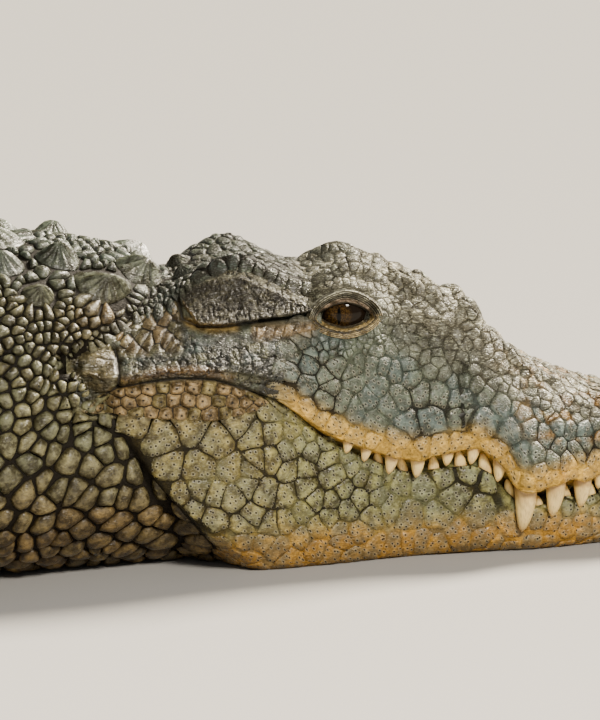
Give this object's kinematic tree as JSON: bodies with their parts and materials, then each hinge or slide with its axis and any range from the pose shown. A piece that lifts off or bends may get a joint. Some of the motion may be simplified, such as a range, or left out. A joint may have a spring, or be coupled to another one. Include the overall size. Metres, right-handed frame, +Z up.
{
  "type": "crocodile",
  "caption": "Life-size still model of a Nile crocodile resting on its belly with its head flat on the floor, mouth closed, legs splayed and tail in a gentle curve.",
  "frame": {"origin": "middle of the belly's flat, on the floor", "axes": "+X towards the snout, +Y to the animal's left, +Z up; the floor is z = 0"},
  "size_m": [3.4448, 1.0978, 0.349],
  "materials": {
    "hide": "horny scaled hide, blue-grey above and olive to yellow below",
    "eye": "wet dark brown iris with a slit pupil",
    "claw": "dark horn"
  },
  "bodies": {
    "root": {"snout": "hide", "cranium": "hide", "lower_jaw": "hide", "eye_right": "eye", "eye_left": "eye", "neck": "hide", "trunk_front": "hide", "trunk_middle": "hide", "trunk_rear": "hide", "tail_1": "hide", "tail_2": "hide", "tail_3": "hide", "tail_4": "hide", "leg_front_right_upper": "hide", "leg_front_right_lower": "hide", "foot_front_right": "hide", "claw_front_right_1": "claw", "claw_front_right_2": "claw", "claw_front_right_3": "claw", "leg_front_left_upper": "hide", "leg_front_left_lower": "hide", "foot_front_left": "hide", "claw_front_left_1": "claw", "claw_front_left_2": "claw", "claw_front_left_3": "claw", "leg_hind_right_upper": "hide", "leg_hind_right_lower": "hide", "foot_hind_right": "hide", "claw_hind_right_1": "claw", "claw_hind_right_2": "claw", "claw_hind_right_3": "claw", "leg_hind_left_upper": "hide", "leg_hind_left_lower": "hide", "foot_hind_left": "hide", "claw_hind_left_1": "claw", "claw_hind_left_2": "claw", "claw_hind_left_3": "claw"}
  },
  "joints": []
}
